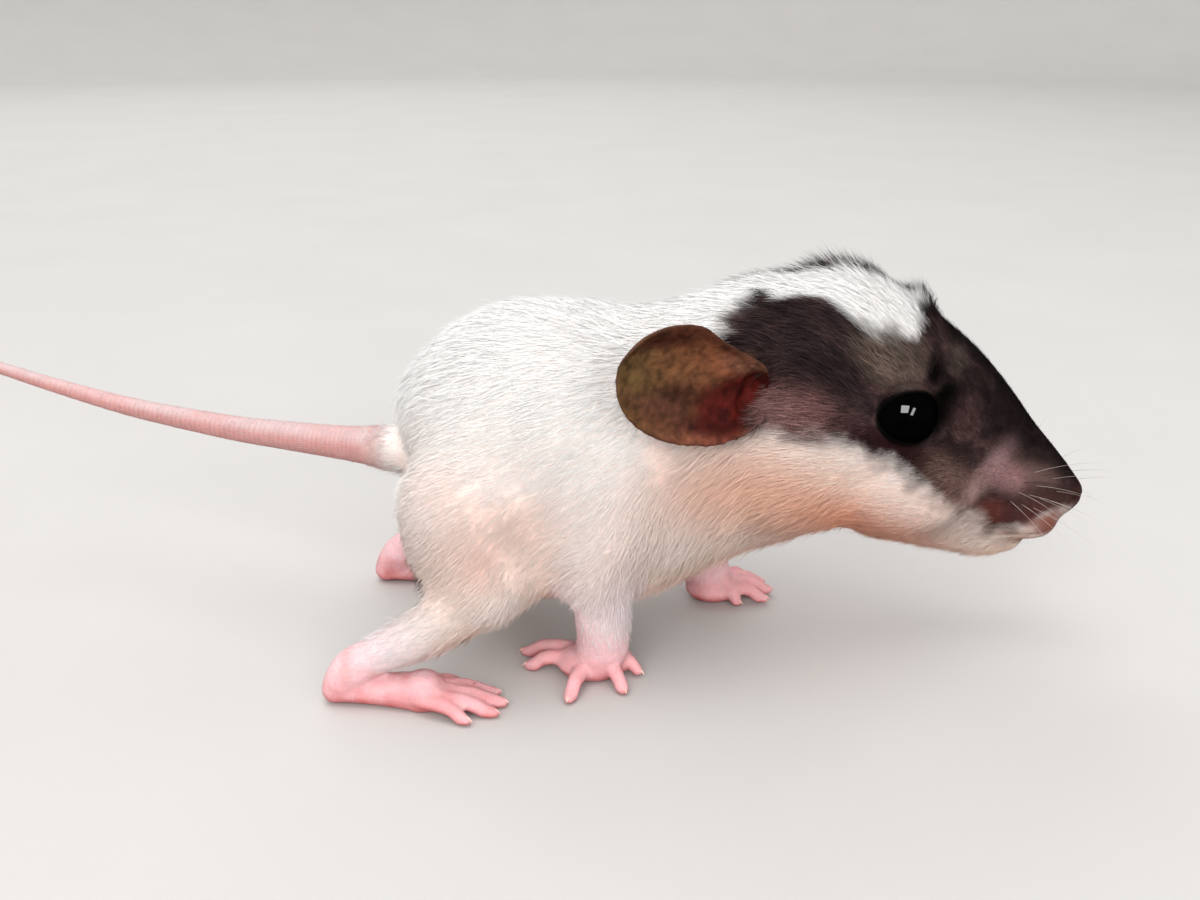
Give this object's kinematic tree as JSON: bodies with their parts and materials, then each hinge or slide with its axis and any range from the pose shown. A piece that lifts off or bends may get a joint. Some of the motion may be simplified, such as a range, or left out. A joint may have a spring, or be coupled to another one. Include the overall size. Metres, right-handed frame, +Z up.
{
  "type": "pet rat, young",
  "caption": "Young white pet rat with a dark mask, large round ears and a long tail, standing still and leaning forward on all fours.",
  "frame": {"origin": "middle of the bounding box, at the level of the soles", "axes": "+X forward from tail to nose, +Y to the animal's left, +Z up"},
  "size_m": [0.1286, 0.0376, 0.04],
  "materials": {
    "coat_white": "soft short fur, white to cream",
    "coat_dark": "soft short fur, charcoal brown mask with a white blaze and cream cheeks",
    "skin_pink": "bare pink skin of the feet",
    "skin_tail": "ringed pink skin with fine short hair",
    "skin_ear": "thin brown skin with a fine down",
    "eye": "wet black"
  },
  "bodies": {
    "root": {"head": "coat_dark", "neck": "coat_white", "trunk": "coat_white", "foreleg_right": "coat_white", "foreleg_left": "coat_white", "forepaw_right": "skin_pink", "forepaw_left": "skin_pink", "hindleg_right": "coat_white", "hindleg_left": "coat_white", "hindfoot_right": "skin_pink", "hindfoot_left": "skin_pink", "tail_base": "skin_tail", "tail_middle": "skin_tail", "tail_tip": "skin_tail", "ear_right": "skin_ear", "ear_left": "skin_ear", "eye_right": "eye", "eye_left": "eye"}
  },
  "joints": []
}
